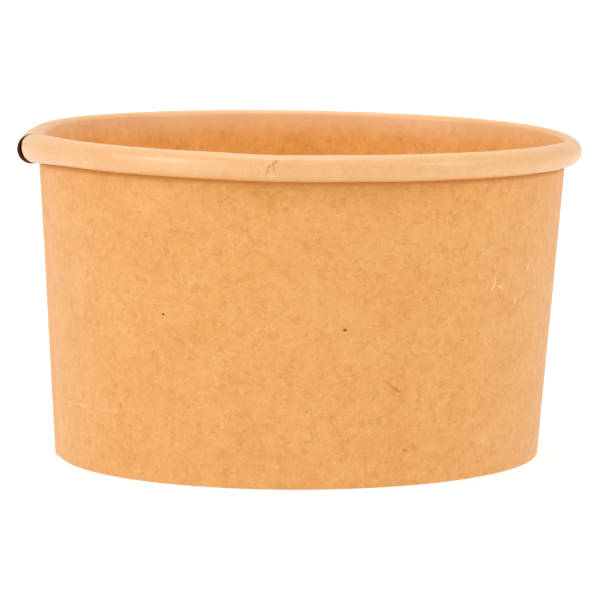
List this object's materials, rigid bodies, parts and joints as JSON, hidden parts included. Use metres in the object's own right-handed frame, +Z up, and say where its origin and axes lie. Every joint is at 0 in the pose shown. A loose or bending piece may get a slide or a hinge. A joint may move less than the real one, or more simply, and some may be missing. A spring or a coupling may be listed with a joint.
{
  "type": "paper ice cream tub",
  "caption": "Low round kraft board tub with tapered lapped side wall, outward rolled rim and recessed base disc, open at the top for a press-on lid.",
  "frame": {"origin": "on the tub's axis, in the plane of the folded foot that the tub stands on", "axes": "+Z up along the tub's axis to the rolled rim, +X to the right as seen from the front, -X towards the side seam"},
  "size_m": [0.0873, 0.087, 0.05],
  "materials": {
    "kraft_wall_board": "uncoated matt kraft outside, smooth sealed film on the food side and over the rolled rim",
    "kraft_base_board": "smooth sealed film on the food side, uncoated matt kraft underneath"
  },
  "bodies": {
    "root": {"sidewall": "kraft_wall_board", "base_disc": "kraft_base_board"}
  },
  "joints": []
}
